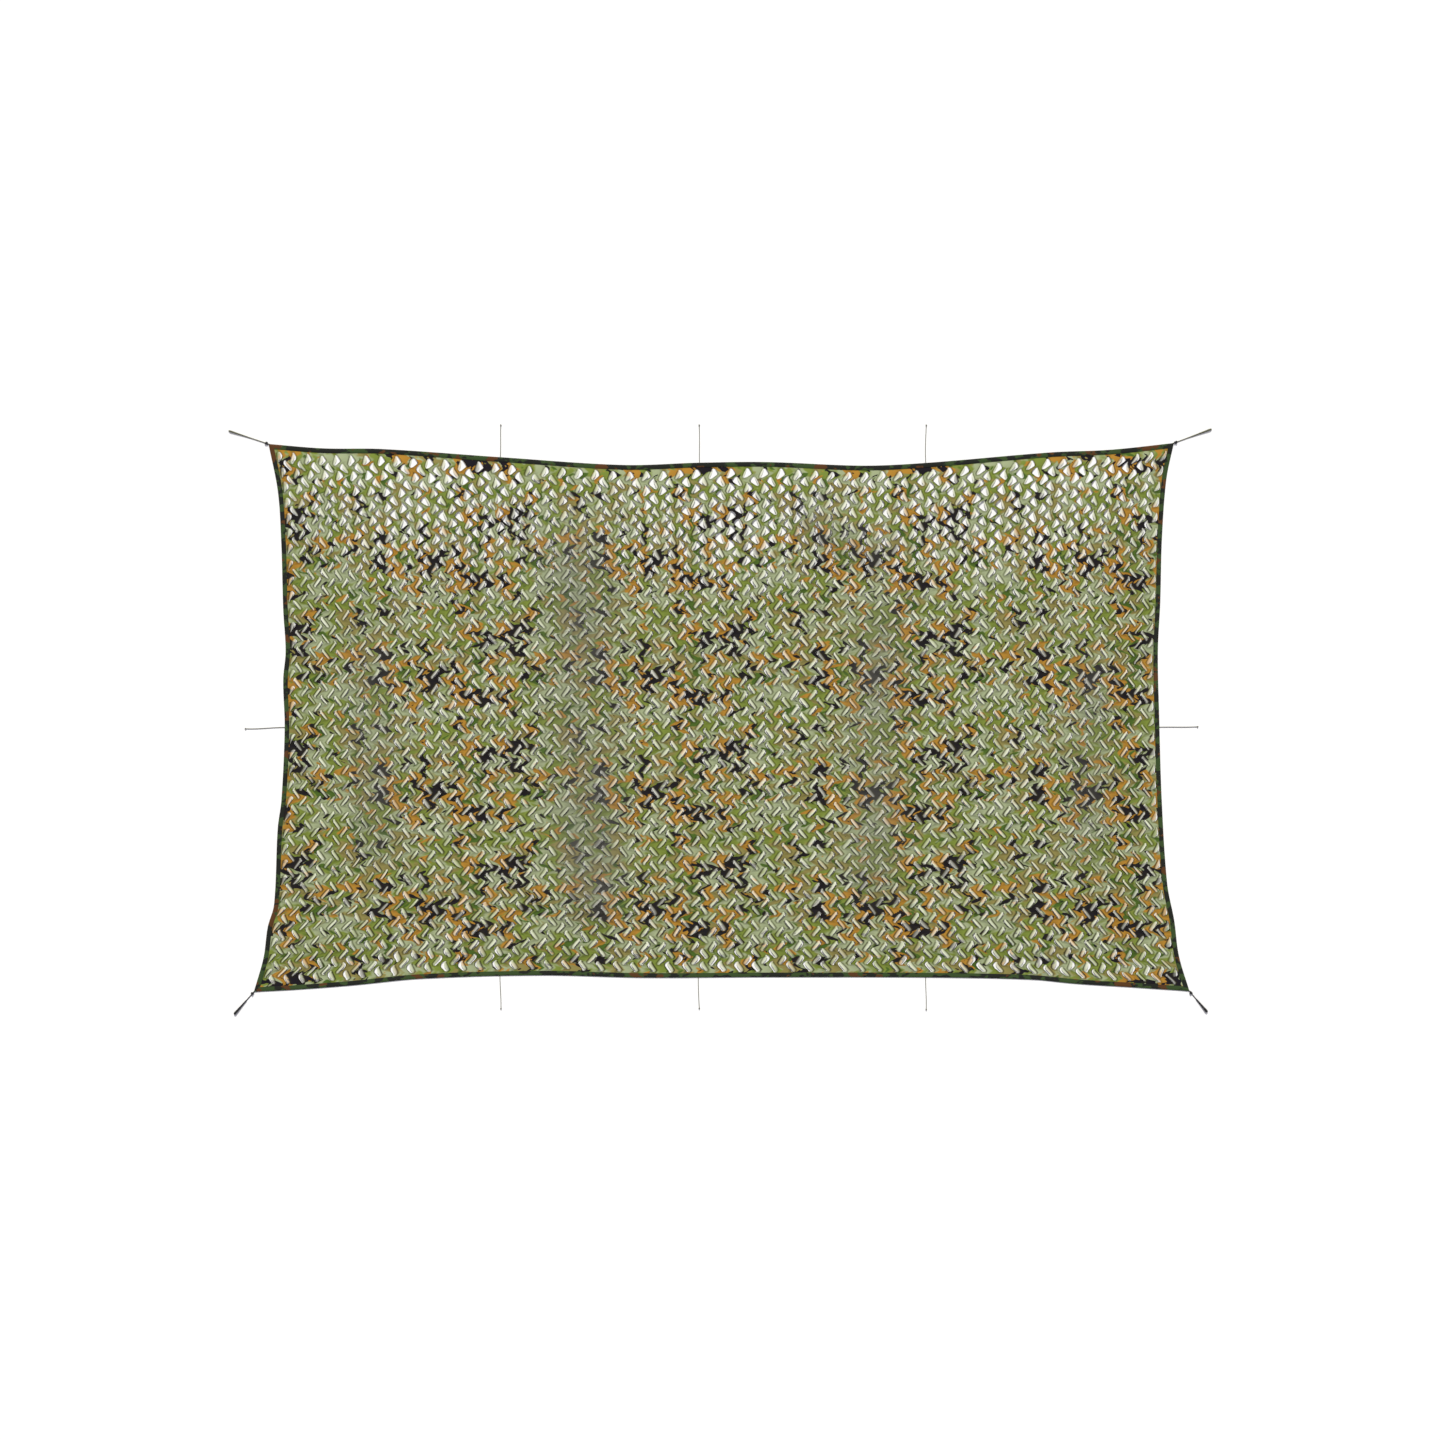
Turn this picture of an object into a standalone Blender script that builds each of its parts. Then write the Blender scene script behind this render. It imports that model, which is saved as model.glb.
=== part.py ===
"""Camouflage net laid out face up: an incised cloth in a folded tape binding, with twelve short ties.

Blender 4.5, in metres. +X runs along the net's long side, +Y towards its top edge, +Z up.
The origin is on the surface that the net lies on, under the middle of the bound cloth.
"""
import math

import bmesh
import bpy
from mathutils import Vector
from mathutils.geometry import interpolate_bezier

# The net's corners, as its ties pull them
TOP_LEFT = Vector((-2.460, 1.485))
TOP_RIGHT = Vector((2.455, 1.490))
BOTTOM_RIGHT = Vector((2.540, -1.486))
BOTTOM_LEFT = Vector((-2.540, -1.490))

# Each edge is drawn in from the straight line between its corners, in scallops between the ties.
# Columns: share of the edge, going clockwise; distance drawn in
TOP_EDGE = (
    (0.000, 0.000), (0.060, 0.024), (0.125, 0.028), (0.256, 0.073), (0.392, 0.116), (0.476, 0.104),
    (0.551, 0.101), (0.657, 0.121), (0.727, 0.106), (0.864, 0.050), (0.930, 0.036), (1.000, 0.000),
)
RIGHT_EDGE = (
    (0.000, 0.000), (0.065, 0.046), (0.176, 0.080), (0.287, 0.098), (0.380, 0.119), (0.496, 0.122),
    (0.651, 0.121), (0.804, 0.104), (0.870, 0.072), (0.935, 0.052), (1.000, 0.000),
)
BOTTOM_EDGE = (
    (0.000, 0.000), (0.064, 0.022), (0.122, 0.041), (0.170, 0.064), (0.280, 0.076), (0.459, 0.078),
    (0.586, 0.076), (0.692, 0.089), (0.821, 0.071), (0.893, 0.036), (0.955, 0.012), (1.000, 0.000),
)
LEFT_EDGE = (
    (0.000, 0.000), (0.063, 0.048), (0.119, 0.066), (0.160, 0.097), (0.300, 0.106), (0.351, 0.122),
    (0.483, 0.129), (0.570, 0.114), (0.623, 0.123), (0.698, 0.104), (0.818, 0.084), (0.913, 0.058),
    (1.000, 0.000),
)

# The sheet's grid: its cells match the leaf cuts at twice their pitch
LEAF_COLUMNS = 54
LEAF_ROWS = 18
LONG_EDGE_STEPS = LEAF_COLUMNS // 2
SHORT_EDGE_STEPS = LEAF_ROWS

# Cloth
CLOTH_THICKNESS = 0.002
CLEARANCE = 0.0003
NET_WIDTH = 4.85
NET_HEIGHT = 2.85
# Distance in from the net's edge of the cloth's own edge, and of the line where it leaves the tape
CLOTH_EDGE_LINES = (0.005, 0.035)

# Soft folds that stand off the surface. Columns: one end x, y; other end x, y; half width; height
FOLDS = (
    (-0.80, 1.22, -0.70, -1.26, 0.32, 0.034),
    (0.86, 0.82, 0.80, -1.10, 0.24, 0.028),
    (0.30, 1.20, 1.02, 0.80, 0.20, 0.024),
    (-1.95, 0.60, -1.85, -0.90, 0.22, 0.018),
    (2.02, 0.50, 1.96, -0.95, 0.20, 0.018),
)
FOLD_FADE = 0.30

# How far the ties pull the leaf cuts open: widest along the top, next along the bottom.
# Columns: share of the way down the net; openness
OPEN_DOWN = (
    (0.00, 0.95), (0.12, 0.88), (0.20, 0.62), (0.28, 0.38), (0.38, 0.36), (0.48, 0.42), (0.58, 0.36),
    (0.76, 0.22), (0.88, 0.34), (0.95, 0.60), (1.00, 0.70),
)
# Columns: share of the way across the net; openness
OPEN_ACROSS = (
    (0.00, 0.40), (0.05, 0.62), (0.12, 1.08), (0.24, 1.05), (0.33, 0.66), (0.43, 0.98), (0.54, 1.15),
    (0.63, 0.72), (0.72, 0.92), (0.83, 1.18), (0.93, 0.92), (1.00, 0.40),
)
# Cuts at least this far open are cut through the sheet
OPEN_ENOUGH = 0.51
# One leaf cut, pulled open: a leaning leaf with one blunt shoulder on each side
LEAF_LENGTH = 0.062
LEAF_WIDTH = 0.036
LEAF_LEAN = math.radians(52)
LEAF_LEAST = 0.78
# Leaf outline from its lower point, anticlockwise. Columns: along, across, in half lengths and widths
LEAF_OUTLINE = ((-1.0, 0.0), (-0.25, -1.0), (0.50, -0.85), (1.0, 0.0), (0.25, 1.0), (-0.50, 0.85))

# Binding: tape folded over the cloth's edge
TAPE_WIDTH = 0.025
TAPE_THICKNESS = 0.0012
BINDING_HEIGHT = 2 * (TAPE_THICKNESS + CLEARANCE) + CLOTH_THICKNESS
CLOTH_LIFT = TAPE_THICKNESS + CLEARANCE
MITRE_GAP = 0.0002

# Ties
FLOOR_CLEARANCE = 0.0001
ROUTE_POINTS = 12
EDGE_TIE_RADIUS = 0.002
END_KNOT = Vector((0.0050, 0.0044, 0.0040))
CORNER_TIE_RADIUS = 0.0025
CORNER_KNOT = Vector((0.011, 0.009, 0.006))
# Share of a corner knot's half length at the height of the cord and of the binding
CORNER_KNOT_SEAT = 0.93
KNOT_LUMP = 0.12
KNOT_TWIST = 2.5
# Edge ties. Columns: name; side; share of that side; free end x, y; bow to the left of the way out
EDGE_TIES = (
    ("top_1", "top", 0.256, -1.199, 1.592, 0.002),
    ("top_2", "top", 0.476, -0.122, 1.592, -0.003),
    ("top_3", "top", 0.726, 1.111, 1.592, 0.002),
    ("right", "right", 0.517, 2.589, -0.050, -0.003),
    ("bottom_3", "bottom", 0.282, 1.111, -1.590, 0.003),
    ("bottom_2", "bottom", 0.525, -0.121, -1.584, -0.002),
    ("bottom_1", "bottom", 0.737, -1.198, -1.585, 0.003),
    ("left", "left", 0.484, -2.590, -0.061, 0.006),
)
# Corner ties. Columns: name; corner; free end x, y; whipping's radius at the free end
CORNER_TIES = (
    ("top_left", TOP_LEFT, -2.677, 1.557, 0.0052),
    ("top_right", TOP_RIGHT, 2.660, 1.566, 0.0056),
    ("bottom_right", BOTTOM_RIGHT, 2.636, -1.599, 0.0074),
    ("bottom_left", BOTTOM_LEFT, -2.646, -1.611, 0.0074),
)
WHIPPING_START = 0.38
# Whipping's profile. Columns: share of its length; share of its end radius
WHIPPING_PROFILE = (
    (0.00, 0.52), (0.20, 0.60), (0.40, 0.70), (0.60, 0.82),
    (0.80, 0.94), (0.92, 1.00), (0.97, 0.86), (1.00, 0.50),
)


def clear_scene():
    for item in list(bpy.data.objects):
        bpy.data.objects.remove(item, do_unlink=True)


def finish(name, colour, roughness):
    material = bpy.data.materials.new(name)
    material.use_nodes = True
    shader = material.node_tree.nodes["Principled BSDF"]
    shader.inputs["Base Color"].default_value = (*colour, 1.0)
    shader.inputs["Roughness"].default_value = roughness
    shader.inputs["Metallic"].default_value = 0.0
    return material


def add_object(name, data, material):
    item = bpy.data.objects.new(name, data)
    bpy.context.scene.collection.objects.link(item)
    data.materials.append(material)
    return item


def mesh_from(name, work):
    mesh = bpy.data.meshes.new(name)
    work.to_mesh(mesh)
    work.free()
    return mesh


# ---- The net's plan: four scalloped sides, read clockwise, and the sheet stretched between them

def read_row(rows, share):
    """A table's value at a share, on a smooth curve through its rows."""
    last = len(rows) - 1
    index = next(i for i in range(last) if share <= rows[i + 1][0])
    slopes = []
    for i in (index, index + 1):
        before, after = rows[max(i - 1, 0)], rows[min(i + 1, last)]
        slopes.append((after[1] - before[1]) / (after[0] - before[0]))
    (start, low), (end, high) = rows[index], rows[index + 1]
    span = end - start
    t = (share - start) / span
    return (
        low * (1 + 2 * t) * (1 - t) ** 2
        + high * t * t * (3 - 2 * t)
        + span * t * (1 - t) * (slopes[0] * (1 - t) - slopes[1] * t)
    )


def side_points(start, end, rows, steps):
    """Points along one side; inwards is to the right of the way from start to end."""
    way = (end - start).normalized()
    inwards = Vector((way.y, -way.x))
    return [start.lerp(end, i / steps) + inwards * read_row(rows, i / steps) for i in range(steps + 1)]


SIDES = {
    "top": side_points(TOP_LEFT, TOP_RIGHT, TOP_EDGE, LONG_EDGE_STEPS),
    "right": side_points(TOP_RIGHT, BOTTOM_RIGHT, RIGHT_EDGE, SHORT_EDGE_STEPS),
    "bottom": side_points(BOTTOM_RIGHT, BOTTOM_LEFT, BOTTOM_EDGE, LONG_EDGE_STEPS),
    "left": side_points(BOTTOM_LEFT, TOP_LEFT, LEFT_EDGE, SHORT_EDGE_STEPS),
}


def along(points, share):
    place = share * (len(points) - 1)
    index = min(int(place), len(points) - 2)
    return points[index].lerp(points[index + 1], place - index)


def net_point(u, v):
    """Place in plan of the sheet's point, u from left to right and v from top to bottom."""
    top, bottom = along(SIDES["top"], u), along(SIDES["bottom"], 1 - u)
    left, right = along(SIDES["left"], 1 - v), along(SIDES["right"], v)
    flat = TOP_LEFT.lerp(TOP_RIGHT, u).lerp(BOTTOM_LEFT.lerp(BOTTOM_RIGHT, u), v)
    return top.lerp(bottom, v) + left.lerp(right, u) - flat


# ---- The cloth

def fold_height(place):
    """Height of the cloth's underside where a soft fold carries it off the surface."""
    height = 0.0
    for x1, y1, x2, y2, half_width, rise in FOLDS:
        start, end = Vector((x1, y1)), Vector((x2, y2))
        way = (end - start).normalized()
        run = (place - start).dot(way)
        off = abs((place - start).dot(Vector((-way.y, way.x))))
        to_end = min(run, (end - start).length - run)
        if off < half_width and to_end > 0:
            fade = min(to_end / FOLD_FADE, 1.0)
            soft_end = fade * fade * (3 - 2 * fade)
            height = max(height, rise * soft_end * math.cos(math.pi / 2 * off / half_width) ** 2)
    return height


def openness(u, v):
    """How far the leaf cuts stand open: near 0 where they are almost closed, 1 at the widest."""
    return min(read_row(OPEN_ACROSS, u) * read_row(OPEN_DOWN, v), 1.0)


def sheet_lines(cells, size):
    """Shares at which grid lines cross the sheet: two edge lines at each end and the leaf grid between."""
    margins = [distance / size for distance in CLOTH_EDGE_LINES]
    inner = [k / cells for k in range(1, cells)]
    return margins + inner + [1 - margin for margin in reversed(margins)]


def leaf_hole(centre, size, leans_right):
    """The hole's points, grouped by the cell corner that each group faces, anticlockwise from lower left."""
    along_leaf = Vector((math.cos(LEAF_LEAN), math.sin(LEAF_LEAN))) * LEAF_LENGTH / 2 * size
    across_leaf = Vector((-math.sin(LEAF_LEAN), math.cos(LEAF_LEAN))) * LEAF_WIDTH / 2 * size
    offsets = [along_leaf * a + across_leaf * b for a, b in LEAF_OUTLINE]
    if leans_right:
        order = ((0,), (1, 2), (3,), (4, 5))
    else:
        offsets = [Vector((-offset.x, offset.y)) for offset in offsets]
        order = ((2, 1), (0,), (5, 4), (3,))
    return [[centre + offsets[i] for i in group] for group in order]


def build_cloth(material):
    """One sheet on a grid whose cells match the leaf cuts at twice their pitch; the widest are cut through."""
    columns = sheet_lines(LEAF_COLUMNS, NET_WIDTH)
    rows = sheet_lines(LEAF_ROWS, NET_HEIGHT)
    edge = len(CLOTH_EDGE_LINES)
    work = bmesh.new()

    def add_point(place, lift=0.0):
        return work.verts.new((place.x, place.y, max(lift, fold_height(place))))

    grid = []
    for j, v in enumerate(rows):
        in_tape_row = min(j, len(rows) - 1 - j) < edge
        line = []
        for i, u in enumerate(columns):
            in_tape = in_tape_row or min(i, len(columns) - 1 - i) < edge
            line.append(add_point(net_point(u, v), CLOTH_LIFT if in_tape else 0.0))
        grid.append(line)

    for j in range(len(rows) - 1):
        for i in range(len(columns) - 1):
            corners = [grid[j + 1][i], grid[j + 1][i + 1], grid[j][i + 1], grid[j][i]]
            even = i % 2 == 0
            u = (columns[i] + columns[i + 1]) / 2
            v = rows[j] + (rows[j + 1] - rows[j]) * (0.25 if even else 0.75)
            in_leaf_grid = edge <= i < len(columns) - 1 - edge and 1 <= j < len(rows) - 2
            opened = openness(u, v)
            if not in_leaf_grid or opened < OPEN_ENOUGH:
                work.faces.new(corners)
                continue
            size = LEAF_LEAST + (1 - LEAF_LEAST) * opened
            hole = leaf_hole(net_point(u, v), size, even)
            groups = [[add_point(place) for place in group] for group in hole]
            for c in range(4):
                following = (c + 1) % 4
                work.faces.new((corners[c], corners[following], groups[following][0], groups[c][-1]))
                if len(groups[c]) == 2:
                    work.faces.new((corners[c], groups[c][1], groups[c][0]))

    cloth = add_object("cloth", mesh_from("cloth", work), material)
    body = cloth.modifiers.new("thickness", "SOLIDIFY")
    body.thickness = CLOTH_THICKNESS
    body.offset = 1.0


# ---- The binding

def inward(before, here, after, depth):
    """The point at a depth inside a corner of the outline, on the corner's mitre line."""
    first, second = (here - before).normalized(), (after - here).normalized()
    normals = [Vector((way.y, -way.x)) for way in (first, second)]
    mitre = (normals[0] + normals[1]).normalized()
    return here + mitre * depth / mitre.dot(normals[0])


def build_binding(name, points, before, after, material):
    """Tape folded double along one side, open towards the cloth, with mitred ends."""
    fold, slot = TAPE_THICKNESS, BINDING_HEIGHT - TAPE_THICKNESS
    section = (
        (0.0, 0.0), (TAPE_WIDTH, 0.0), (TAPE_WIDTH, fold), (fold, fold),
        (fold, slot), (TAPE_WIDTH, slot), (TAPE_WIDTH, BINDING_HEIGHT), (0.0, BINDING_HEIGHT),
    )
    chain = [before] + points + [after]
    start_gap = (points[1] - points[0]).normalized() * MITRE_GAP
    end_gap = (points[-2] - points[-1]).normalized() * MITRE_GAP
    work = bmesh.new()
    rings = []
    for i in range(1, len(chain) - 1):
        gap = start_gap if i == 1 else end_gap if i == len(chain) - 2 else Vector((0.0, 0.0))
        ring = []
        for depth, height in section:
            place = inward(chain[i - 1], chain[i], chain[i + 1], depth) + gap
            ring.append(work.verts.new((place.x, place.y, height)))
        rings.append(ring)
    for first, second in zip(rings, rings[1:]):
        for k in range(len(section)):
            following = (k + 1) % len(section)
            work.faces.new((first[k], first[following], second[following], second[k]))
    work.faces.new(rings[0])
    work.faces.new(rings[-1])
    bmesh.ops.recalc_face_normals(work, faces=work.faces)
    add_object(name, mesh_from(name, work), material)


# ---- The ties

def build_tube(name, places, radii, material):
    """A cord's stretch: round, with flat ends, resting on the surface all along."""
    curve = bpy.data.curves.new(name, "CURVE")
    curve.dimensions = "3D"
    curve.bevel_depth = 1.0
    curve.bevel_resolution = 2
    curve.use_fill_caps = True
    spline = curve.splines.new("POLY")
    spline.points.add(len(places) - 1)
    for point, place, radius in zip(spline.points, places, radii):
        point.co = (place.x, place.y, radius + FLOOR_CLEARANCE, 1.0)
        point.radius = radius
    add_object(name, curve, material)


def build_knot(name, centre, way, half_size, material):
    """A small overhand knot: an oval lump with turns that wind round it."""
    work = bmesh.new()
    bmesh.ops.create_uvsphere(work, u_segments=10, v_segments=6, radius=1.0)
    for vert in work.verts:
        turn = math.atan2(vert.co.y, vert.co.x)
        lump = 1 - KNOT_LUMP * (1 - vert.co.z ** 2) * (1 - math.cos(2 * turn + KNOT_TWIST * vert.co.z)) / 2
        vert.co = Vector((vert.co.x * half_size.x, vert.co.y * half_size.y, vert.co.z * half_size.z)) * lump
    for face in work.faces:
        face.smooth = True
    knot = add_object(name, mesh_from(name, work), material)
    knot.location = (centre.x, centre.y, half_size.z + FLOOR_CLEARANCE)
    knot.rotation_euler = (0.0, 0.0, math.atan2(way.y, way.x))


def build_edge_tie(name, side, share, tip, bow, material):
    """A cord caught in the binding, out square to it and on to a small knot at its free end."""
    root = along(SIDES[side], share)
    ahead = along(SIDES[side], share + 0.01) - along(SIDES[side], share - 0.01)
    out = Vector((-ahead.y, ahead.x)).normalized()
    way = (tip - root).normalized()
    start = root + out * CLEARANCE
    end = tip - way * (2 * END_KNOT.x + CLEARANCE)
    reach = (end - start).length / 3
    bend = Vector((-way.y, way.x)) * bow
    handles = (start + out * reach, end - way * reach + bend)
    route = interpolate_bezier(
        start.to_3d(), handles[0].to_3d(), handles[1].to_3d(), end.to_3d(), ROUTE_POINTS)
    build_tube("tie_" + name, route, [EDGE_TIE_RADIUS] * ROUTE_POINTS, material)
    build_knot("end_knot_" + name, tip - way * END_KNOT.x, way, END_KNOT, material)


def build_corner_tie(name, corner, tip, end_radius, cord, black):
    """A cord knotted against the corner, and whipped thicker and thicker to its free end."""
    way = (tip - corner).normalized()
    length = (tip - corner).length
    seat = way * (CORNER_KNOT.x * CORNER_KNOT_SEAT + CLEARANCE)
    build_knot("corner_knot_" + name, corner + seat, way, CORNER_KNOT, black)
    start = corner + 2 * seat
    whipping = corner + way * length * WHIPPING_START
    end = whipping - way * CLEARANCE
    steps = ROUTE_POINTS // 2
    build_tube("tie_corner_" + name, [start.lerp(end, i / steps) for i in range(steps + 1)],
               [CORNER_TIE_RADIUS] * (steps + 1), cord)
    build_tube("whipping_" + name, [whipping.lerp(tip, share) for share, _ in WHIPPING_PROFILE],
               [end_radius * swell for _, swell in WHIPPING_PROFILE], cord)


def build():
    clear_scene()
    printed_cloth = finish("printed_cloth", (0.29, 0.38, 0.14), 0.85)
    tape = finish("binding_tape", (0.035, 0.050, 0.025), 0.80)
    thin_cord = finish("thin_cord", (0.16, 0.16, 0.13), 0.75)
    olive_cord = finish("olive_cord", (0.10, 0.10, 0.06), 0.75)
    black_cord = finish("black_cord", (0.012, 0.012, 0.012), 0.70)

    build_cloth(printed_cloth)
    names = list(SIDES)
    for k, name in enumerate(names):
        before, after = SIDES[names[k - 1]], SIDES[names[(k + 1) % 4]]
        build_binding("binding_" + name, SIDES[name], before[-2], after[1], tape)
    for name, side, share, x, y, bow in EDGE_TIES:
        build_edge_tie(name, side, share, Vector((x, y)), bow, thin_cord)
    for name, corner, x, y, end_radius in CORNER_TIES:
        cord = olive_cord if name.startswith("top") else black_cord
        build_corner_tie(name, corner, Vector((x, y)), end_radius, cord, black_cord)


build()
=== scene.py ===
"""Looks of the camouflage net: camera, studio, tie cords, incised cloth and folded edge tape.

Blender 4.5, in metres. +X runs along the net's long side, +Y towards its top edge, +Z up off the floor.
"""
import math
import random

import bpy
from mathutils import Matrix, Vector, noise
from mathutils.geometry import interpolate_bezier


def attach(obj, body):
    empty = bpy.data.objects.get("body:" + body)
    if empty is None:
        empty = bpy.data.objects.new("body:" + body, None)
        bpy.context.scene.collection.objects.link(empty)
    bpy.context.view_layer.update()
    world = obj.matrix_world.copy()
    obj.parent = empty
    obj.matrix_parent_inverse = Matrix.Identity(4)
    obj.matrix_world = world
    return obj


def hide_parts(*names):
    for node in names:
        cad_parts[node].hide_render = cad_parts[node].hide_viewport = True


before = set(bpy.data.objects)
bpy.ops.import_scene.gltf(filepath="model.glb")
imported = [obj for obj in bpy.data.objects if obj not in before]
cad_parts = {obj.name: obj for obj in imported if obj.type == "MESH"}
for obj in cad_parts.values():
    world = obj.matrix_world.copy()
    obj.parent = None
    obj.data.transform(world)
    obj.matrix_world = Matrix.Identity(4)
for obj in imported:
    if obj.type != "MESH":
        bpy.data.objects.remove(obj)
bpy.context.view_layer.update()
bpy.ops.object.select_all(action="DESELECT")


# ---- Camera and studio
# The camera looks straight down on the net laid out on a white floor. A broad soft light comes from
# beyond its top edge, a little from the left, and a pale sky fills the shadows under the cloth.

# The square of floor that fills the picture: its width and its middle
FRAME_ACROSS = 7.819
FRAME_MIDDLE = (-0.009, -0.0136)
# The lens and the sensor's width, in millimetres
LENS = 85.0
SENSOR = 36.0
FLOOR_SIZE = 80.0
# How far the light leans over from straight down, about X and about Y, and how broad it is, in degrees
LIGHT_LEANS = (-50.0, -2.0)
LIGHT_SPREAD = 10.0

bpy.ops.object.camera_add(
    location=(*FRAME_MIDDLE, FRAME_ACROSS * LENS / SENSOR), rotation=(0.0, 0.0, 0.0))
camera = bpy.context.object
camera.data.lens = LENS
camera.data.sensor_width = SENSOR
camera.data.clip_end = 100.0
bpy.context.scene.camera = camera

bpy.ops.object.light_add(type="SUN", rotation=(*map(math.radians, LIGHT_LEANS), 0.0))
key_light = bpy.context.object
key_light.data.energy = 3.5
key_light.data.angle = math.radians(LIGHT_SPREAD)
key_light.data.color = (1.0, 0.985, 0.91)

sky = bpy.data.worlds.new("sky")
sky.use_nodes = True
glow = sky.node_tree.nodes["Background"].inputs
glow["Color"].default_value = (0.91, 0.90, 1.0, 1.0)
glow["Strength"].default_value = 0.46
bpy.context.scene.world = sky
bpy.context.scene.view_settings.view_transform = "Standard"


class Wire:
    """A node's output. Python's operators on wires and numbers add Math nodes."""

    def __init__(self, finish, socket):
        self.finish, self.socket = finish, socket

    def math(self, operation, *values):
        return self.finish.node("ShaderNodeMath", {"operation": operation}, dict(enumerate(values)))

    def __add__(self, other):
        return self.math("ADD", self, other)

    def __radd__(self, other):
        return self.math("ADD", other, self)

    def __sub__(self, other):
        return self.math("SUBTRACT", self, other)

    def __rsub__(self, other):
        return self.math("SUBTRACT", other, self)

    def __mul__(self, other):
        return self.math("MULTIPLY", self, other)

    def __rmul__(self, other):
        return self.math("MULTIPLY", other, self)

    def clamped(self):
        return self.finish.node("ShaderNodeClamp", {}, {"Value": self})


class Finish:
    """A material of this object, with a Principled shader that its nodes feed."""

    def __init__(self, name, **plain):
        self.material = bpy.data.materials.new(name)
        self.material.use_nodes = True
        self.tree = self.material.node_tree
        self.shader = self.tree.nodes["Principled BSDF"]
        for socket, value in plain.items():
            self.shader.inputs[socket.replace("_", " ")].default_value = value

    def node(self, kind, settings, sockets, output=0):
        made = self.tree.nodes.new(kind)
        for key, value in settings.items():
            setattr(made, key, value)
        for key, value in sockets.items():
            self.join(value, made.inputs[key])
        return Wire(self, made.outputs[output])

    def join(self, value, socket):
        if isinstance(value, Wire):
            self.tree.links.new(value.socket, socket)
        else:
            socket.default_value = value

    def feed(self, socket, value):
        self.join(value, self.shader.inputs[socket])

    def mix(self, share, first, second):
        colours = [value if isinstance(value, Wire) else (*value, 1.0) for value in (first, second)]
        sockets = {0: share, 6: colours[0], 7: colours[1]}
        return self.node("ShaderNodeMix", {"data_type": "RGBA"}, sockets, 2)

    def place(self):
        return self.node("ShaderNodeTexCoord", {}, {}, "Object")

    def grain(self, scale, detail=2.0, roughness=0.5):
        settings = {"noise_dimensions": "3D"}
        sockets = {"Vector": self.place(), "Scale": scale, "Detail": detail, "Roughness": roughness}
        return self.node("ShaderNodeTexNoise", settings, sockets, "Fac")

    def bump(self, height, strength, distance):
        sockets = {"Height": height, "Strength": strength, "Distance": distance}
        self.feed("Normal", self.node("ShaderNodeBump", {}, sockets, "Normal"))


floor_finish = Finish("floor", Roughness=0.9, Specular_IOR_Level=0.0)
floor_cloud = floor_finish.grain(3.0)
floor_finish.feed("Base Color", floor_finish.mix(floor_cloud, (0.95, 0.95, 0.95), (0.97, 0.97, 0.97)))
bpy.ops.mesh.primitive_plane_add(size=FLOOR_SIZE, location=(0.0, 0.0, 0.0))
floor = bpy.context.object
floor.name = "floor"
floor.data.materials.append(floor_finish.material)


# ---- Edge ties
# Eight short lengths of grey-olive braided cord, caught in the fold of the edge tape and knotted at
# their free ends. They run straight out from the net and lie on the floor.

# The net's corners, as its ties pull them
TOP_LEFT = Vector((-2.460, 1.485))
TOP_RIGHT = Vector((2.455, 1.490))
BOTTOM_RIGHT = Vector((2.540, -1.486))
BOTTOM_LEFT = Vector((-2.540, -1.490))
# Each edge is drawn in from the straight line between its corners, in scallops between the ties.
# Columns: share of the edge, going clockwise; distance drawn in
TOP_EDGE = (
    (0.000, 0.000), (0.060, 0.024), (0.125, 0.028), (0.256, 0.073), (0.392, 0.116), (0.476, 0.104),
    (0.551, 0.101), (0.657, 0.121), (0.727, 0.106), (0.864, 0.050), (0.930, 0.036), (1.000, 0.000),
)
RIGHT_EDGE = (
    (0.000, 0.000), (0.065, 0.046), (0.176, 0.080), (0.287, 0.098), (0.380, 0.119), (0.496, 0.122),
    (0.651, 0.121), (0.804, 0.104), (0.870, 0.072), (0.935, 0.052), (1.000, 0.000),
)
BOTTOM_EDGE = (
    (0.000, 0.000), (0.064, 0.022), (0.122, 0.041), (0.170, 0.064), (0.280, 0.076), (0.459, 0.078),
    (0.586, 0.076), (0.692, 0.089), (0.821, 0.071), (0.893, 0.036), (0.955, 0.012), (1.000, 0.000),
)
LEFT_EDGE = (
    (0.000, 0.000), (0.063, 0.048), (0.119, 0.066), (0.160, 0.097), (0.300, 0.106), (0.351, 0.122),
    (0.483, 0.129), (0.570, 0.114), (0.623, 0.123), (0.698, 0.104), (0.818, 0.084), (0.913, 0.058),
    (1.000, 0.000),
)
LONG_SIDE_STEPS, SHORT_SIDE_STEPS = 216, 144


def read_row(rows, share):
    """A table's value at a share, on a smooth curve through its rows."""
    last = len(rows) - 1
    index = next(i for i in range(last) if share <= rows[i + 1][0])
    slopes = []
    for i in (index, index + 1):
        before, after = rows[max(i - 1, 0)], rows[min(i + 1, last)]
        slopes.append((after[1] - before[1]) / (after[0] - before[0]))
    (start, low), (end, high) = rows[index], rows[index + 1]
    span = end - start
    t = (share - start) / span
    return (
        low * (1 + 2 * t) * (1 - t) ** 2
        + high * t * t * (3 - 2 * t)
        + span * t * (1 - t) * (slopes[0] * (1 - t) - slopes[1] * t)
    )


def side_points(start, end, rows, steps):
    """Points along one side of the net, going clockwise."""
    way = (end - start).normalized()
    inwards = Vector((way.y, -way.x))
    return [start.lerp(end, i / steps) + inwards * read_row(rows, i / steps) for i in range(steps + 1)]


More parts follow.
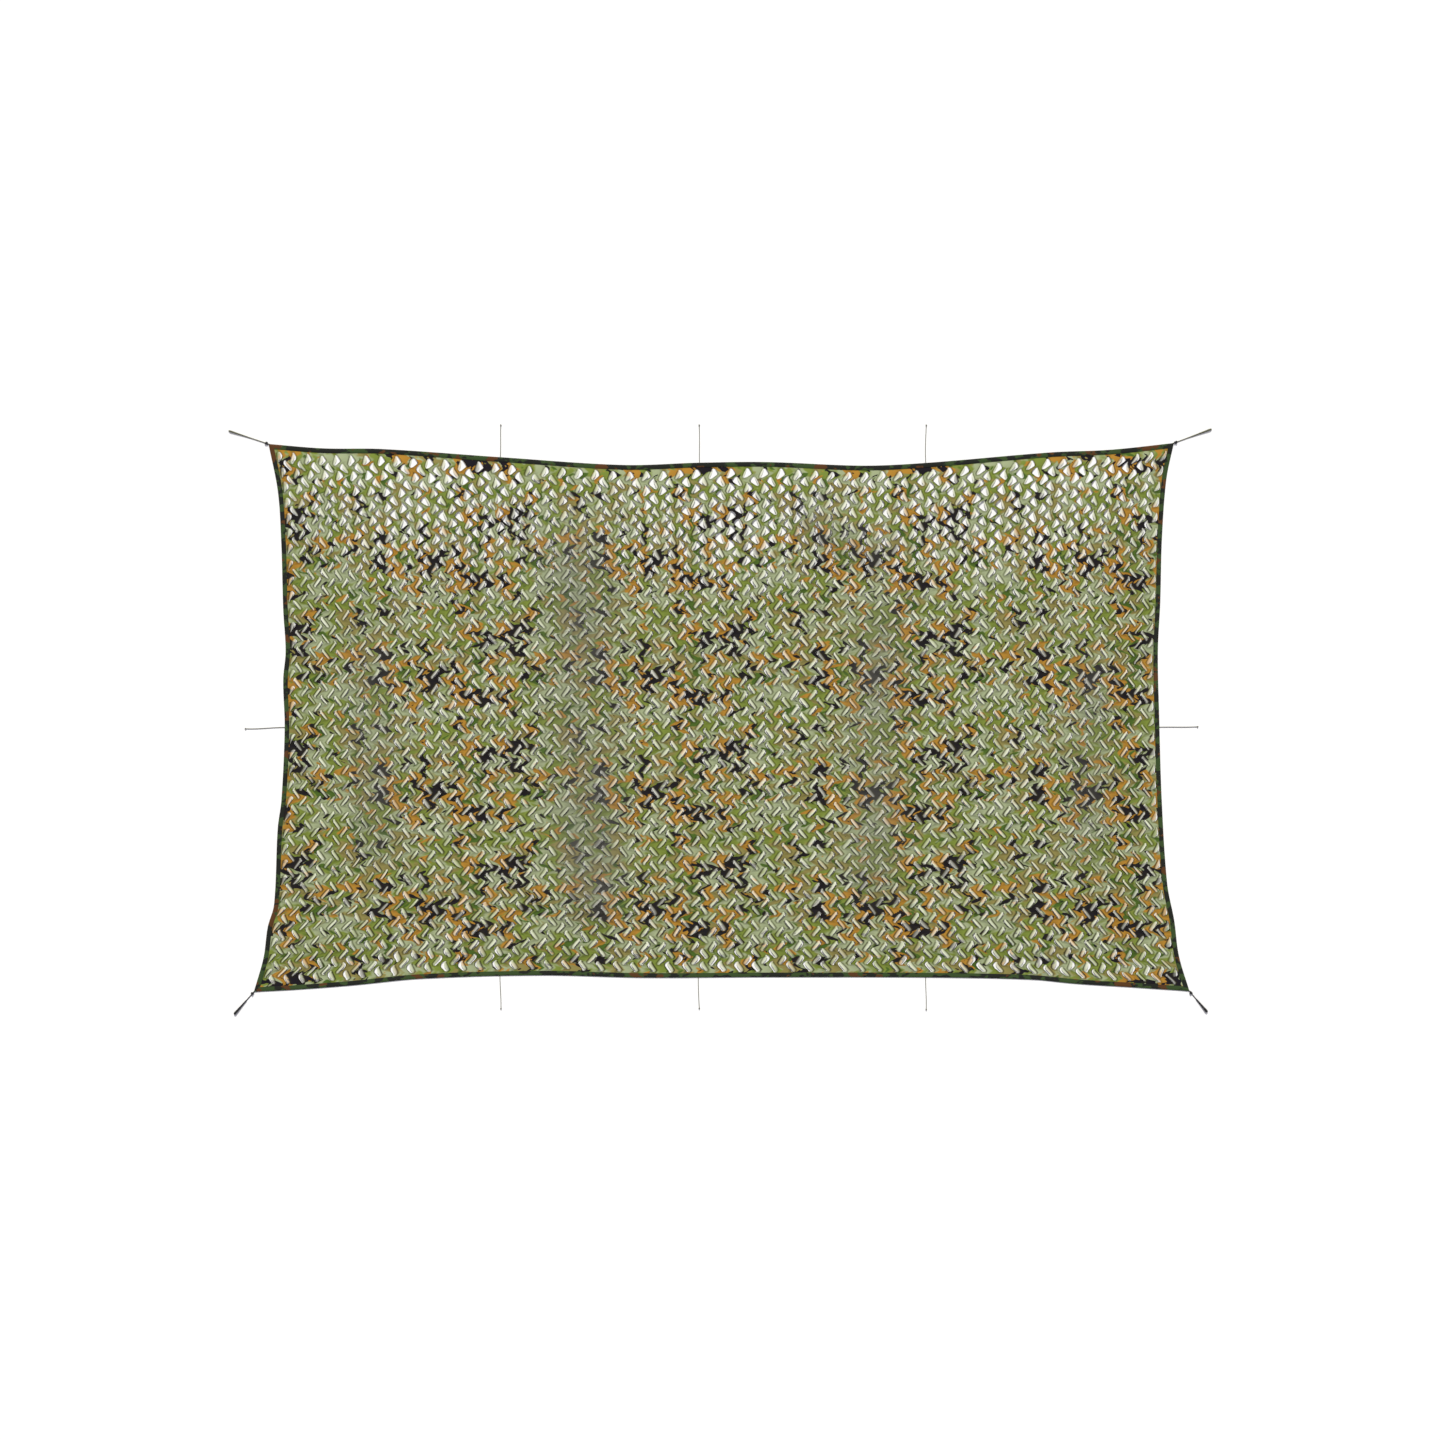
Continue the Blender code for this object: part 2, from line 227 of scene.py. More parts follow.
SIDES = {
    "top": side_points(TOP_LEFT, TOP_RIGHT, TOP_EDGE, LONG_SIDE_STEPS),
    "right": side_points(TOP_RIGHT, BOTTOM_RIGHT, RIGHT_EDGE, SHORT_SIDE_STEPS),
    "bottom": side_points(BOTTOM_RIGHT, BOTTOM_LEFT, BOTTOM_EDGE, LONG_SIDE_STEPS),
    "left": side_points(BOTTOM_LEFT, TOP_LEFT, LEFT_EDGE, SHORT_SIDE_STEPS),
}


def along(points, share):
    """The place at a share of the way along a line of points."""
    place = share * (len(points) - 1)
    index = min(int(place), len(points) - 2)
    return points[index].lerp(points[index + 1], place - index)


# How many strands of braid cross in a metre of cord
STRANDS = 520.0


def braided(name, light, dark):
    """Braided cord: light and dark strands cross on it at a millimetre or two."""
    cord = Finish(name, Roughness=0.8)
    sockets = {"Vector": cord.place(), "Scale": STRANDS}
    strands = cord.node("ShaderNodeTexVoronoi", {"feature": "F1"}, sockets, "Distance")
    cord.feed("Base Color", cord.mix(strands, light, dark))
    cord.bump(strands, 0.5, 0.0006)
    return cord.material


thin_cord = braided("thin_cord", (0.22, 0.22, 0.18), (0.10, 0.10, 0.075))

EDGE_CORD = 0.004
# How clear of the floor the cords and their knots lie
LYING = 0.0001
# How far a tie's caught end goes into the tape's fold
IN_FOLD = 0.0015
# Half length, half width and half height of an edge tie's end knot, and the radius of its strand
END_KNOT = Vector((0.0050, 0.0044, 0.0040))
END_KNOT_STRAND = 0.0018
ROUTE_STEPS = 24
KNOT_STEPS = 42
# The share of a side, each way from a tie, over which the edge's direction there is taken
EDGE_REACH = 0.004
# Columns: name; side; share of that side; free end x, y; bow to the left of the way out
EDGE_TIES = (
    ("top_1", "top", 0.256, -1.199, 1.592, 0.002),
    ("top_2", "top", 0.476, -0.122, 1.592, -0.003),
    ("top_3", "top", 0.726, 1.111, 1.592, 0.002),
    ("right", "right", 0.517, 2.589, -0.050, -0.003),
    ("bottom_3", "bottom", 0.282, 1.111, -1.590, 0.003),
    ("bottom_2", "bottom", 0.525, -0.121, -1.584, -0.002),
    ("bottom_1", "bottom", 0.737, -1.198, -1.585, 0.003),
    ("left", "left", 0.484, -2.590, -0.061, 0.006),
)


def make_smooth(piece):
    bpy.context.view_layer.objects.active = piece
    piece.select_set(True)
    bpy.ops.object.shade_smooth()
    piece.select_set(False)


def lay_cord(name, places, radius, material, closed=False):
    """A round cord along a smooth line through its places."""
    curve = bpy.data.curves.new(name, "CURVE")
    curve.dimensions = "3D"
    curve.bevel_depth = radius
    curve.bevel_resolution = 3
    curve.use_fill_caps = not closed
    spline = curve.splines.new("POLY")
    spline.points.add(len(places) - 1)
    for point, place in zip(spline.points, places):
        point.co = (*place, 1.0)
    spline.use_cyclic_u = closed
    spline.use_smooth = True
    cord = bpy.data.objects.new(name, curve)
    bpy.context.scene.collection.objects.link(cord)
    curve.materials.append(material)
    return cord


def tie_knot(name, centre, way, half_size, strand, material):
    """A cord end pulled into a tight overhand knot of three crossing turns."""
    across = Vector((-way.y, way.x, 0.0))
    ahead = Vector((way.x, way.y, 0.0))
    # the line of the turns below reaches 3 ahead and 3 across, and 1 up
    reach = [(half_size[k] - strand) / size for k, size in enumerate((3.0, 3.0, 1.0))]
    places = []
    for step in range(KNOT_STEPS):
        turn = 2 * math.pi * step / KNOT_STEPS
        places.append(
            centre
            + ahead * (math.sin(turn) + 2 * math.sin(2 * turn)) * reach[0]
            + across * (math.cos(turn) - 2 * math.cos(2 * turn)) * reach[1]
            + Vector((0.0, 0.0, -math.sin(3 * turn) * reach[2]))
        )
    knot = lay_cord(name, places, strand, material, closed=True)
    bpy.context.view_layer.objects.active = knot
    knot.select_set(True)
    bpy.ops.object.convert(target="MESH")
    make_smooth(knot)
    return knot


def length_of(places):
    return sum((after - before).length for before, after in zip(places, places[1:]))


def set_down(piece, slot, *nodes):
    """The piece rides on the net's one body, in place of its solids."""
    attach(piece, "root")
    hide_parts(*nodes)


for name, side, share, x, y, bow in EDGE_TIES:
    root = along(SIDES[side], share)
    ahead = along(SIDES[side], share + EDGE_REACH) - along(SIDES[side], share - EDGE_REACH)
    out = Vector((-ahead.y, ahead.x)).normalized()
    tip = Vector((x, y))
    way = (tip - root).normalized()
    start = root - out * IN_FOLD
    end = tip - way * END_KNOT.x
    reach = (end - start).length / 3
    bend = Vector((-way.y, way.x)) * bow
    height = Vector((0.0, 0.0, EDGE_CORD / 2 + LYING))
    handles = (start, start + out * reach, end - way * reach + bend, end)
    curve = interpolate_bezier(*(handle.to_3d() for handle in handles), ROUTE_STEPS)
    route = [place + height for place in curve]
    tie = lay_cord("cord_" + name, route, EDGE_CORD / 2, thin_cord)
    centre = end.to_3d() + Vector((0.0, 0.0, END_KNOT.z + LYING))
    knot = tie_knot("knot_" + name, centre, way, END_KNOT, END_KNOT_STRAND, thin_cord)
    set_down(tie, "thin_cord", "tie_" + name)
    set_down(knot, "thin_cord", "end_knot_" + name)
    root.to_3d() + height
    length_of(route)


# ---- Corner ties
# A heavier cord is knotted hard against each corner. Past its first third it is whipped with twine,
# thicker and thicker to its end: olive at the top corners, black at the bottom ones.

CORNER_CORD = 0.005
# How far the cord goes into the tape's corner, and how far short of the whipping's tip it ends
IN_CORNER, SHORT_OF_TIP = 0.010, 0.002
CORNER_KNOT = Vector((0.011, 0.009, 0.006))
CORNER_KNOT_STRAND = 0.0031
# The gap that touching pieces keep
CLEARANCE = 0.0003
# The share of a tie's length at which its whipping starts
WHIPPING_START = 0.38
TWINE = 0.0028
# The ball of cord that fills the whipping's end. As shares of its end radius: radius; back from the
# tip; height
END_BALL, END_BALL_BACK, END_BALL_HEIGHT = 0.52, 0.5, 0.6
# The whipping's profile. Columns: share of its length; share of its end radius
WHIPPING_PROFILE = (
    (0.00, 0.52), (0.20, 0.60), (0.40, 0.70), (0.60, 0.82),
    (0.80, 0.94), (0.92, 1.00), (0.97, 0.86), (1.00, 0.50),
)
# Columns: name; corner; free end x, y; whipping's radius at the free end
CORNER_TIES = (
    ("top_left", TOP_LEFT, -2.677, 1.557, 0.0052),
    ("top_right", TOP_RIGHT, 2.660, 1.566, 0.0056),
    ("bottom_right", BOTTOM_RIGHT, 2.636, -1.599, 0.0074),
    ("bottom_left", BOTTOM_LEFT, -2.646, -1.611, 0.0074),
)

olive_cord = braided("olive_cord", (0.20, 0.20, 0.12), (0.08, 0.08, 0.045))
black_cord = braided("black_cord", (0.030, 0.030, 0.030), (0.008, 0.008, 0.008))

for name, corner, x, y, end_radius in CORNER_TIES:
    slot, cord_finish = ("olive_cord", olive_cord) if name.startswith("top") else ("black_cord", black_cord)
    tip = Vector((x, y))
    way = (tip - corner).normalized()
    length = (tip - corner).length
    height = Vector((0.0, 0.0, CORNER_CORD / 2 + LYING))
    end_height = Vector((0.0, 0.0, end_radius + LYING))
    start, end = corner - way * IN_CORNER, tip - way * SHORT_OF_TIP
    route = []
    for step in range(ROUTE_STEPS + 1):
        share = step / ROUTE_STEPS
        lift = height.lerp(end_height, max(share - WHIPPING_START, 0.0) / (1 - WHIPPING_START))
        route.append(start.lerp(end, share).to_3d() + lift)
    tie = lay_cord("corner_cord_" + name, route, CORNER_CORD / 2, cord_finish)

    centre = (corner + way * (CORNER_KNOT.x + CLEARANCE)).to_3d() + Vector((0.0, 0.0, CORNER_KNOT.z + LYING))
    knot = tie_knot("corner_knotted_" + name, centre, way, CORNER_KNOT, CORNER_KNOT_STRAND, black_cord)

    wound = length * (1 - WHIPPING_START)
    turns = round(wound / TWINE)
    whole = []
    for turn in range(turns):
        share = (turn + 0.5) / turns
        radius = end_radius * read_row(WHIPPING_PROFILE, share)
        place = corner + way * (length * WHIPPING_START + wound * share)
        bpy.ops.mesh.primitive_torus_add(
            location=(place.x, place.y, radius + LYING),
            rotation=(0.0, math.pi / 2, math.atan2(way.y, way.x)),
            major_segments=18, minor_segments=6,
            major_radius=radius - TWINE / 2, minor_radius=TWINE / 2)
        whole.append(bpy.context.object)
    ball = tip - way * end_radius * END_BALL_BACK
    bpy.ops.mesh.primitive_uv_sphere_add(
        segments=18, ring_count=10, radius=end_radius * END_BALL,
        location=(ball.x, ball.y, end_radius * END_BALL_HEIGHT))
    whole.append(bpy.context.object)
    whipping = whole[0]
    whipping.name = "wound_" + name
    bpy.ops.object.select_all(action="DESELECT")
    for ring in whole:
        ring.select_set(True)
    bpy.context.view_layer.objects.active = whipping
    bpy.ops.object.join()
    bpy.ops.object.transform_apply(location=True, rotation=True, scale=True)
    bpy.ops.object.shade_smooth()
    bpy.ops.object.select_all(action="DESELECT")
    whipping.data.materials.append(cord_finish)

    set_down(tie, slot, "tie_corner_" + name)
    set_down(knot, "black_cord", "corner_knot_" + name)
    set_down(whipping, slot, "whipping_" + name)
    corner.to_3d() + height
    length_of(route)


# ---- The cloth
# One sheet of thin coated polyester, printed and then cut all over with leaf-shaped slits. Where the
# ties stretch it the slits gape, and the tongue of each cut curls up off its upper side.

COLUMNS = 111
# Each row of cuts is four of these high, and every second column of cuts is set two of them lower
QUARTER_ROWS = 138
NET_WIDTH = 4.85
NET_HEIGHT = 2.85
# How far in from the net's edge the sheet begins, within the tape, and its cuts begin, past the tape
UNDER_TAPE = 0.006
PAST_TAPE = 0.0235

# Soft folds that stand off the floor. Columns: one end x, y; other end x, y; half width; height
FOLDS = (
    (-0.80, 1.22, -0.70, -1.26, 0.32, 0.034),
    (0.86, 0.82, 0.80, -1.10, 0.24, 0.028),
    (0.30, 1.20, 1.02, 0.80, 0.20, 0.024),
    (-1.95, 0.60, -1.85, -0.90, 0.22, 0.018),
    (2.02, 0.50, 1.96, -0.95, 0.20, 0.018),
)
FOLD_FADE = 0.30
# A fold this high gets the full painted shade, greying the print
FULL_SHADE_FOLD = 0.030
# Off its folds the sheet lies this low by the tape, and as high as its slack within this half width and
# half height, over a fade
CLOTH_LOW, CLOTH_SLACK = 0.0012, 0.0065
SLACK_HALF_WIDTH, SLACK_HALF_HEIGHT = 2.32, 1.32
SLACK_FADE = 0.08
# The lattice of cuts drifts out of true by as much as this, and less by the tape, over a fade
LATTICE_DRIFT = 0.022
DRIFT_FADE = 0.15

# How far the ties pull the leaf cuts open. Columns: share of the way down the net; openness
OPEN_DOWN = (
    (0.00, 0.95), (0.12, 0.90), (0.20, 0.62), (0.28, 0.42), (0.38, 0.38), (0.48, 0.42), (0.58, 0.36),
    (0.76, 0.22), (0.88, 0.30), (0.95, 0.46), (1.00, 0.57),
)
# Columns: share of the way across the net; openness
OPEN_ACROSS = (
    (0.00, 0.55), (0.05, 0.85), (0.12, 1.06), (0.24, 1.05), (0.33, 0.66), (0.43, 0.98), (0.54, 1.15),
    (0.63, 0.72), (0.72, 0.92), (0.83, 1.14), (0.93, 1.00), (1.00, 0.55),
)
# Cuts begin to gape past the first openness, and gape in full that much further on
GAPES_FROM, GAPES_OVER = 0.35, 0.5

# How the pitch of the lattice varies as the ties spread it. Columns: share of its cells; relative pitch
PITCH_ACROSS = ((0.00, 0.84), (0.10, 0.90), (0.20, 1.00), (0.80, 1.00), (0.90, 0.90), (1.00, 0.84))
PITCH_DOWN = ((0.00, 0.97), (0.20, 1.00), (0.90, 1.00), (1.00, 0.90))

# How far the strips weave from side to side: all alike where the cuts are shut, and where they gape
# less at the hinges, and in a wider bow at the free sides
SHUT_WEAVE, HINGE_WEAVE, FREE_WEAVE, FREE_BOW = 0.0145, 0.0090, 0.0050, 0.0150
# How far the print goes along with a strip's weave; over 1, as the strips also tilt
PRINT_DRAWN = 1.7
# Half a strip's width, and how far its middle line, a cut's edge and a free rim stand up off the sheet
HALF_STRIP = 0.0058
STRIP_RISE, CUT_RISE, RIM_RISE = 0.0012, 0.0004, 0.0070

# One leaf cut: a tongue hinged on one side and free on the other, between two strips of cloth
LEAF_STEPS = 7
LEAF_HEIGHT = 0.058
LEAF_ROUND = 0.75
# Where the cut's tips lie, as a share of the way from its hinge strip to its free strip
TIPS, TIPS_APART = 0.42, 0.30
# A shut cut's hinge lies this share of the way in
SHUT_HINGE = 0.12
# The share of its cut that a tongue covers: where shut, how much less where open, and at the least
CLOSED_COVER, COVER_LOSS, LEAST_COVER = 0.84, 0.44, 0.25
# How high the tongues curl, and how much less for each metre that a fold lifts them
TONGUE_RISE = 0.011
FOLD_FLATTENS = 13
# Rows across the tongue. Columns: share of its reach; share of its curl; share of its painted highlight
TONGUE_ROWS = ((0.42, 0.50, 0.52), (1.00, 1.00, 1.00))
# The tongues' painted highlight is weaker this near to the short sides
EDGE_BAND = 0.060
chance = random.Random(7)


def net_point(u, v):
    """Place in plan of the sheet's point, u from left to right and v from top to bottom."""
    top, bottom = along(SIDES["top"], u), along(SIDES["bottom"], 1 - u)
    left, right = along(SIDES["left"], 1 - v), along(SIDES["right"], v)
    flat = TOP_LEFT.lerp(TOP_RIGHT, u).lerp(BOTTOM_LEFT.lerp(BOTTOM_RIGHT, u), v)
    return top.lerp(bottom, v) + left.lerp(right, u) - flat


def fold_height(place):
    """Height at which a soft fold carries the cloth off the floor."""
    height = 0.0
    for x1, y1, x2, y2, half_width, rise in FOLDS:
        start, end = Vector((x1, y1)), Vector((x2, y2))
        way = (end - start).normalized()
        run = (place - start).dot(way)
        off = abs((place - start).dot(Vector((-way.y, way.x))))
        to_end = min(run, (end - start).length - run)
        if off < half_width and to_end > 0:
            fade = min(to_end / FOLD_FADE, 1.0)
            soft_end = fade * fade * (3 - 2 * fade)
            height = max(height, rise * soft_end * math.cos(math.pi / 2 * off / half_width) ** 2)
    return height


def lattice_shares(cells, size, pitches):
    """Shares at which the lattice's lines cross the sheet, and one more at each end under the tape."""
    first, last = PAST_TAPE / size, 1 - PAST_TAPE / size
    places = [0.0]
    for k in range(cells):
        places.append(places[-1] + read_row(pitches, (k + 0.5) / cells))
    inner = [first + (last - first) * place / places[-1] for place in places]
    return [UNDER_TAPE / size] + inner + [1 - UNDER_TAPE / size]


def openness(u, v):
    return read_row(OPEN_ACROSS, u) * read_row(OPEN_DOWN, v)


def gaping(opened):
    """How far a cut gapes, from 0 where its openness leaves it shut to 1."""
    return min(max((opened - GAPES_FROM) / GAPES_OVER, 0.0), 1.0)


def off_tape(place, fade):
    """How free of the tape the cloth is there, from 0 beside it to 1 past the fade."""
    inside = min(SLACK_HALF_WIDTH - abs(place.x), SLACK_HALF_HEIGHT - abs(place.y))
    return min(max(inside / fade, 0.0), 1.0)


def ground(place):
    """Height of the sheet itself: its soft folds, and low waves between them."""
    wave = noise.noise(Vector((place.x * 3.1, place.y * 4.3, 0.7)))
    slack_height = CLOTH_SLACK * off_tape(place, SLACK_FADE) * (1 + 0.5 * wave)
    return CLOTH_LOW + max(slack_height, fold_height(place))


def fold_shade_share(place):
    """How far painted shade greys the cloth's print, in patchy bands along its soft folds."""
    patchy = 0.75 + 0.6 * noise.noise(Vector((place.x * 2.3, place.y * 2.3, 5.1)))
    return min(fold_height(place) / FULL_SHADE_FOLD * patchy, 1.0)


def drift(place):
    """How far the cut lattice has drifted out of true there."""
    wander = [noise.noise(Vector((place.x * 2.6, place.y * 2.6, seed))) for seed in (9.2, 14.7)]
    return LATTICE_DRIFT * off_tape(place, DRIFT_FADE) * Vector(wander)


points, printed_at, paleness, creases, dullness, faces = [], [], [], [], [], []


def add_point(place, rise, drawn=0.0, pale=0.0, crease=0.0):
    """A point of the cloth, drawn sideways with its print by the cuts beside it."""
    points.append((place.x, place.y, ground(place) + rise))
    printed_at.extend((place.x - PRINT_DRAWN * drawn, place.y, 0.0))
    paleness.append(pale)
    creases.append(crease)
    dullness.append(fold_shade_share(place))
    return len(points) - 1


# The lattice of the strips' middle lines, first as it would lie and then as its cuts draw it sideways
columns = lattice_shares(COLUMNS, NET_WIDTH, PITCH_ACROSS)
rows = lattice_shares(QUARTER_ROWS, NET_HEIGHT, PITCH_DOWN)
plan = [[net_point(u, v) for u in columns] for v in rows]
plan = [[place + drift(place) for place in line] for line in plan]
grid = []
for j, v in enumerate(rows):
    line = []
    for i, u in enumerate(columns):
        place = plan[j][i].copy()
        in_tape = i in (0, len(columns) - 1) or j in (0, len(rows) - 1)
        on_border = i in (1, len(columns) - 2) or j in (1, len(rows) - 2)
        if not in_tape and not on_border:
            gape = gaping(openness(u, v))
            weave, bow = (-1, 0, 1, 0)[j % 4], (0, -1, 0, 1)[j % 4]
            wide = weave * HINGE_WEAVE if i % 2 == 1 else weave * FREE_WEAVE + bow * FREE_BOW
            place.x += weave * SHUT_WEAVE * (1 - gape) + wide * gape
        line.append(add_point(place, 0.0 if in_tape else STRIP_RISE, place.x - plan[j][i].x))
    grid.append(line)


def zip_sides(left, right):
    """Triangles between two lines of points that run up the net."""
    i = k = 0
    while i < len(left) - 1 or k < len(right) - 1:
        left_lower = i < len(left) - 1 and (
            k == len(right) - 1 or points[left[i + 1]][1] < points[right[k + 1]][1])
        faces.append((left[i], right[k], left[i + 1] if left_lower else right[k + 1]))
        i, k = (i + 1, k) if left_lower else (i, k + 1)


def beside(line, y, column):
    """Where a strip's middle line runs at a height, or how far it is drawn there."""
    low, high = next(pair for pair in zip(line, line[1:]) if y <= pair[1][1] or pair[1] == line[-1])
    return low[column] + (high[column] - low[column]) * (y - low[1]) / (high[1] - low[1])


def cut_leaf(i, j, leans_right):
    """One leaf cut, four rows high: the strips' edges on its two sides, and its tongue."""
    u, v = (columns[i] + columns[i + 1]) / 2, rows[j + 2]
    middle = (plan[j + 2][i] + plan[j + 2][i + 1]) / 2 + Vector((0.0, chance.uniform(-0.003, 0.003)))
    opened = openness(u, v) * chance.uniform(0.65, 1.35)
    gape = gaping(opened)
    height = LEAF_HEIGHT * chance.uniform(0.88, 1.10)
    half_strips = [HALF_STRIP * chance.uniform(0.6, 1.5) for side in (0, 1)]
    cover = max(CLOSED_COVER - COVER_LOSS * opened ** 1.5, LEAST_COVER) * chance.uniform(0.90, 1.06)
    curl = TONGUE_RISE * cover * chance.uniform(0.6, 1.3) * (1 - FOLD_FLATTENS * fold_height(middle))
    # painted shade in the creases, deeper towards the net's bottom edge
    depth_of_crease = chance.uniform(0.7, 1.3) * (0.85 + 0.20 * v)
    # the tongues' painted highlight: paler towards the net's top edge, away from its short sides, and where
    # the cuts gape
    to_side = min(min(u, 1 - u) * NET_WIDTH / EDGE_BAND, 1.0)
    tongue_highlight = (1.34 - 0.30 * v) * (0.45 + 0.55 * to_side) * (0.74 + 0.26 * gape)
    tongue_highlight *= chance.uniform(0.65, 1.20)
    shut_hinge = SHUT_HINGE * (1 - gape)
    tips_apart = TIPS_APART * (1 - 0.45 * gape) * chance.uniform(0.8, 1.2)

    # each strip's middle line, from its lower end up. Columns: x; y; how far it is drawn sideways
    upwards = (4, 3, 2, 1, 0)
    strips = [[grid[j + k][i + side] for k in upwards] for side in (0, 1)]
    lines = []
    for side in (0, 1):
        undrawn = [plan[j + k][i + side].x for k in upwards]
        lines.append([(*points[p][:2], points[p][0] - x) for p, x in zip(strips[side], undrawn)])

    def leaf_point(step, depth, rise, **shade):
        """Point of the cut, from its lower tip up: depth 0 is on its hinge, 1 on its free side."""
        up = -math.cos(math.pi * step / LEAF_STEPS)
        swell = math.sin(math.pi * step / LEAF_STEPS) ** LEAF_ROUND
        y = middle.y + up * height / 2
        tip = TIPS + tips_apart * up
        reach = shut_hinge + (1 - shut_hinge) * depth
        across = tip + (reach - tip) * swell
        limits = [beside(lines[0], y, 0) + half_strips[0], beside(lines[1], y, 0) - half_strips[1]]
        drawn = [beside(line, y, 2) for line in lines]
        hinge, free = limits if leans_right else reversed(limits)
        hinge_drawn, free_drawn = drawn if leans_right else reversed(drawn)
        place = Vector((hinge + (free - hinge) * across, y))
        return add_point(place, rise, hinge_drawn + (free_drawn - hinge_drawn) * across, **shade)

    # the crease value is painted shade along each cut's hinge side and at its tips, and a painted shadow
    # along its raised free rim beyond the curled tongue
    lower, upper = (leaf_point(step, 0.0, CUT_RISE, crease=0.5) for step in (0, LEAF_STEPS))
    hinge_side, free_side = [lower], [lower]
    for step in range(1, LEAF_STEPS):
        swell = math.sin(math.pi * step / LEAF_STEPS)
        hinge_side.append(leaf_point(step, 0.0, CUT_RISE, crease=depth_of_crease * (0.5 + 0.5 * swell)))
        free_side.append(leaf_point(step, 1.0, RIM_RISE * swell, crease=depth_of_crease * swell))
    hinge_side.append(upper)
    free_side.append(upper)
    zip_sides(strips[0], hinge_side if leans_right else free_side)
    zip_sides(free_side if leans_right else hinge_side, strips[1])
    faces.append((strips[0][0], strips[1][0], lower))
    faces.append((upper, strips[1][-1], strips[0][-1]))

    before = hinge_side
    for share, lift, pale in TONGUE_ROWS:
        after = [lower]
        for step in range(1, LEAF_STEPS):
            swell = math.sin(math.pi * step / LEAF_STEPS)
            after.append(leaf_point(step, cover * share, curl * lift * swell, pale=tongue_highlight * pale))
        after.append(upper)
        for k in range(LEAF_STEPS):
            corners = list(dict.fromkeys((before[k], after[k], after[k + 1], before[k + 1])))
            faces.append(tuple(corners if leans_right else reversed(corners)))
        before = after


for i in range(len(columns) - 1):
    in_border = i in (0, len(columns) - 2)
    leans_right = i % 2 == 1
    j = 0
    while j < len(rows) - 1:
        cut_starts = j % 4 == (1 if leans_right else 3) and j + 4 <= len(rows) - 2
        if cut_starts and not in_border:
            cut_leaf(i, j, leans_right)
            j += 4
        else:
            faces.append((grid[j + 1][i], grid[j + 1][i + 1], grid[j][i + 1], grid[j][i]))
            j += 1


def mesh_piece(name, points, faces):
    """A smooth piece of cloth or tape, made of its points and the faces between them."""
    mesh = bpy.data.meshes.new(name)
    mesh.from_pydata(points, [], faces)
    piece = bpy.data.objects.new(name, mesh)
    bpy.context.scene.collection.objects.link(piece)
    make_smooth(piece)
    return piece


net_cloth = mesh_piece("net_cloth", points, faces)
net_cloth.data.validate()
for name, values in (("paleness", paleness), ("crease", creases), ("dullness", dullness)):
    net_cloth.data.attributes.new(name, "FLOAT", "POINT").data.foreach_set("value", values)
net_cloth.data.attributes.new("printed_at", "FLOAT_VECTOR", "POINT").data.foreach_set("vector", printed_at)

# The print's repeat, across and down
REPEAT_ACROSS = 1.19
REPEAT_DOWN = 0.63
LEAF_GREEN = (0.190, 0.245, 0.042)
SAGE = (0.350, 0.400, 0.225)
KHAKI = (0.260, 0.225, 0.070)
DEEP_GREEN = (0.070, 0.130, 0.020)
OCHRE = (0.420, 0.215, 0.030)
NEAR_BLACK = (0.012, 0.010, 0.014)
# What the print turns towards, and how far: a painted highlight on the tongues, painted shade in the cuts'
# creases and painted shade in bands along the folds
HIGHLIGHT_PALE, PALENESS = (0.90, 0.90, 0.78), 0.66
PAINTED_SHADE_BROWN, DARKNESS = (0.026, 0.022, 0.006), 0.94
FOLD_SHADE_GREY, GREYNESS = (0.150, 0.150, 0.125), 0.38
# The patches laid over the leaf green, one colour after another. Columns: colour; its noise's seed; how
# finely it is broken up across and down; threshold; sharpness; how far it keeps to the print's drifts
PRINT_PATCHES = (
    (SAGE, 3.1, 1.7, 1.15, 0.475, 16.0, 0.0),
    (KHAKI, 63.5, 1.8, 1.25, 0.53, 22.0, 0.0),
    (DEEP_GREEN, 17.4, 2.2, 1.35, 0.60, 30.0, 0.0),
    (OCHRE, 29.7, 2.2, 1.35, 0.569, 40.0, 0.8),
    (NEAR_BLACK, 41.2, 3.0, 1.8, 0.598, 60.0, 0.8),
)


def print_noise(finish, place, seed, across, down):
    """Noise wrapped round, so that it meets itself at each repeat of the print."""
    x = finish.node("ShaderNodeSeparateXYZ", {}, {"Vector": place}, "X") * (2 * math.pi / REPEAT_ACROSS)
    y = finish.node("ShaderNodeSeparateXYZ", {}, {"Vector": place}, "Y") * (2 * math.pi / REPEAT_DOWN)
    vector = finish.node("ShaderNodeCombineXYZ", {}, {
        "X": x.math("COSINE", x) * across + seed,
        "Y": x.math("SINE", x) * across,
        "Z": y.math("COSINE", y) * down,
    })
    return finish.node("ShaderNodeTexNoise", {"noise_dimensions": "4D"}, {
        "Vector": vector,
        "W": y.math("SINE", y) * down + seed,
        "Scale": 1.0,
        "Detail": 2.5,
        "Roughness": 0.55,
    }, "Fac")


def print_patch(finish, place, seed, across, down, threshold, sharpness, leaning=0.0):
    """Mask of one colour's patches, where its noise, with what it leans towards, passes the threshold."""
    return ((print_noise(finish, place, seed, across, down) + leaning - threshold) * sharpness).clamped()


cloth_finish = Finish("printed_cloth", Roughness=0.85, Specular_IOR_Level=0.10)
on_cloth = cloth_finish.node("ShaderNodeAttribute", {"attribute_name": "printed_at"}, {}, "Vector")
# the ochre and the near black lie together in wide drifts, with green between these
drifts = print_noise(cloth_finish, on_cloth, 91.3, 0.95, 0.55) - 0.5
printed = LEAF_GREEN
for colour, seed, across, down, threshold, sharpness, gathered in PRINT_PATCHES:
    leaning = drifts * gathered if gathered else 0.0
    patches = print_patch(cloth_finish, on_cloth, seed, across, down, threshold, sharpness, leaning)
    printed = cloth_finish.mix(patches, printed, colour)
